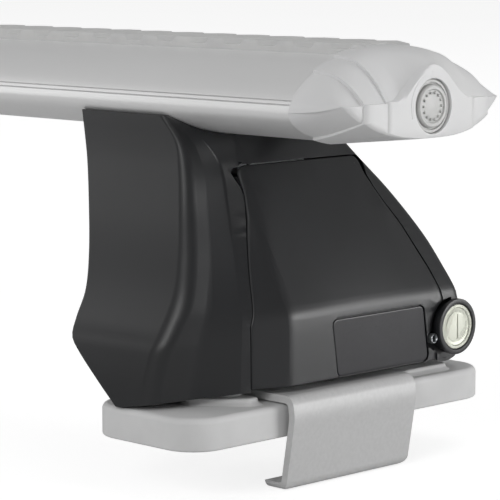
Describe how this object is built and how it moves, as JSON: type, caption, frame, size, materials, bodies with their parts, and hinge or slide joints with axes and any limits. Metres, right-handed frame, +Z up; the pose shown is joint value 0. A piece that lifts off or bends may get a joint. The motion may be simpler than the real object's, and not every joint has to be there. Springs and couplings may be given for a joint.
{
  "type": "roof rack",
  "caption": "Aerodynamic roof rack crossbar on two locking feet, each with a hinged lockable cover, a rubber pad and a steel clamp for the door frame.",
  "frame": {"origin": "middle of the bar's length and width, level with the lowest point of the clamp hooks", "axes": "+X along the bar, outboard on the right foot; +Y along the vehicle, towards the lock side of the right foot; +Z up"},
  "size_m": [1.258, 0.146, 0.142],
  "materials": {
    "anodised_bar": "fine satin anodising",
    "strip_rubber": "matt, slanting ridges",
    "cap_plastic": "fine moulded grain",
    "dial_plastic": "smooth moulded",
    "leg_plastic": "satin glass-filled nylon with a fine grain",
    "badge_plastic": "plain, slightly glossier than the cover",
    "pad_rubber": "matt moulded rubber",
    "plated_steel": "bright zinc plating",
    "clamp_steel": "smooth powder coat",
    "lock_chrome": "bright chrome with a raised rim"
  },
  "bodies": {
    "bar": {"crossbar": "anodised_bar", "top_strip": "strip_rubber", "right_end_cap": "cap_plastic", "left_end_cap": "cap_plastic"},
    "right_foot": {"right_leg_body": "leg_plastic", "right_saddle_pad": "pad_rubber", "right_channel_nut": "plated_steel", "right_bar_bolt": "plated_steel", "right_bar_washer": "plated_steel", "right_inner_frame": "plated_steel", "right_frame_nut": "plated_steel", "right_hinge_pin": "plated_steel", "right_base_plate": "plated_steel", "right_pad": "pad_rubber", "right_lock_housing": "leg_plastic", "right_rivet": "plated_steel"},
    "right_cover": {"right_cover": "leg_plastic", "right_badge_plate": "badge_plastic"},
    "right_lock": {"right_lock_core": "lock_chrome", "right_lock_cam": "plated_steel"},
    "right_clamp": {"right_clamp": "clamp_steel", "right_bolt_washer": "plated_steel"},
    "right_clamp_bolt": {"right_clamp_bolt": "plated_steel"},
    "right_dial": {"right_end_cap_dial": "dial_plastic"},
    "left_foot": {"left_leg_body": "leg_plastic", "left_saddle_pad": "pad_rubber", "left_channel_nut": "plated_steel", "left_bar_bolt": "plated_steel", "left_bar_washer": "plated_steel", "left_inner_frame": "plated_steel", "left_frame_nut": "plated_steel", "left_hinge_pin": "plated_steel", "left_base_plate": "plated_steel", "left_pad": "pad_rubber", "left_lock_housing": "leg_plastic", "left_rivet": "plated_steel"},
    "left_cover": {"left_cover": "leg_plastic", "left_badge_plate": "badge_plastic"},
    "left_lock": {"left_lock_core": "lock_chrome", "left_lock_cam": "plated_steel"},
    "left_clamp": {"left_clamp": "clamp_steel", "left_bolt_washer": "plated_steel"},
    "left_clamp_bolt": {"left_clamp_bolt": "plated_steel"},
    "left_dial": {"left_end_cap_dial": "dial_plastic"}
  },
  "joints": [
    {"name": "right_foot_slide", "type": "slide", "parent": "bar", "child": "right_foot", "axis": [1, 0, 0], "range_m": [-0.06, 0.01]},
    {"name": "right_cover_hinge", "type": "hinge", "parent": "right_foot", "child": "right_cover", "pos_m": [0.5615, 0, 0.0935], "axis": [0, -1, 0], "range_deg": [0, 60]},
    {"name": "right_lock_turn", "type": "hinge", "parent": "right_foot", "child": "right_lock", "pos_m": [0.598, 0.0532, 0.0439], "axis": [1, 0, 0], "range_deg": [0, 90]},
    {"name": "right_clamp_slide", "type": "slide", "parent": "right_foot", "child": "right_clamp", "axis": [1, 0, 0], "range_m": [0, 0.012]},
    {"name": "right_clamp_bolt_turn", "type": "hinge", "parent": "right_clamp", "child": "right_clamp_bolt", "pos_m": [0.598, 0, 0.05], "axis": [1, 0, 0], "range_deg": [-10, 3480]},
    {"name": "right_dial_turn", "type": "hinge", "parent": "bar", "child": "right_dial", "pos_m": [0.629, 0, 0.1229], "axis": [1, 0, 0], "range_deg": [0, 90]},
    {"name": "left_foot_slide", "type": "slide", "parent": "bar", "child": "left_foot", "axis": [-1, 0, 0], "range_m": [-0.06, 0.01]},
    {"name": "left_cover_hinge", "type": "hinge", "parent": "left_foot", "child": "left_cover", "pos_m": [-0.5615, 0, 0.0935], "axis": [0, 1, 0], "range_deg": [0, 60]},
    {"name": "left_lock_turn", "type": "hinge", "parent": "left_foot", "child": "left_lock", "pos_m": [-0.598, -0.0532, 0.0439], "axis": [-1, 0, 0], "range_deg": [0, 90]},
    {"name": "left_clamp_slide", "type": "slide", "parent": "left_foot", "child": "left_clamp", "axis": [-1, 0, 0], "range_m": [0, 0.012]},
    {"name": "left_clamp_bolt_turn", "type": "hinge", "parent": "left_clamp", "child": "left_clamp_bolt", "pos_m": [-0.598, 0, 0.05], "axis": [-1, 0, 0], "range_deg": [-10, 3480]},
    {"name": "left_dial_turn", "type": "hinge", "parent": "bar", "child": "left_dial", "pos_m": [-0.629, 0, 0.1229], "axis": [-1, 0, 0], "range_deg": [0, 90]}
  ],
  "couplings": [
    {"joint": "right_clamp_bolt_turn", "follows": "right_clamp_slide", "rad_per_m": 5026.5},
    {"joint": "left_clamp_bolt_turn", "follows": "left_clamp_slide", "rad_per_m": 5026.5}
  ]
}
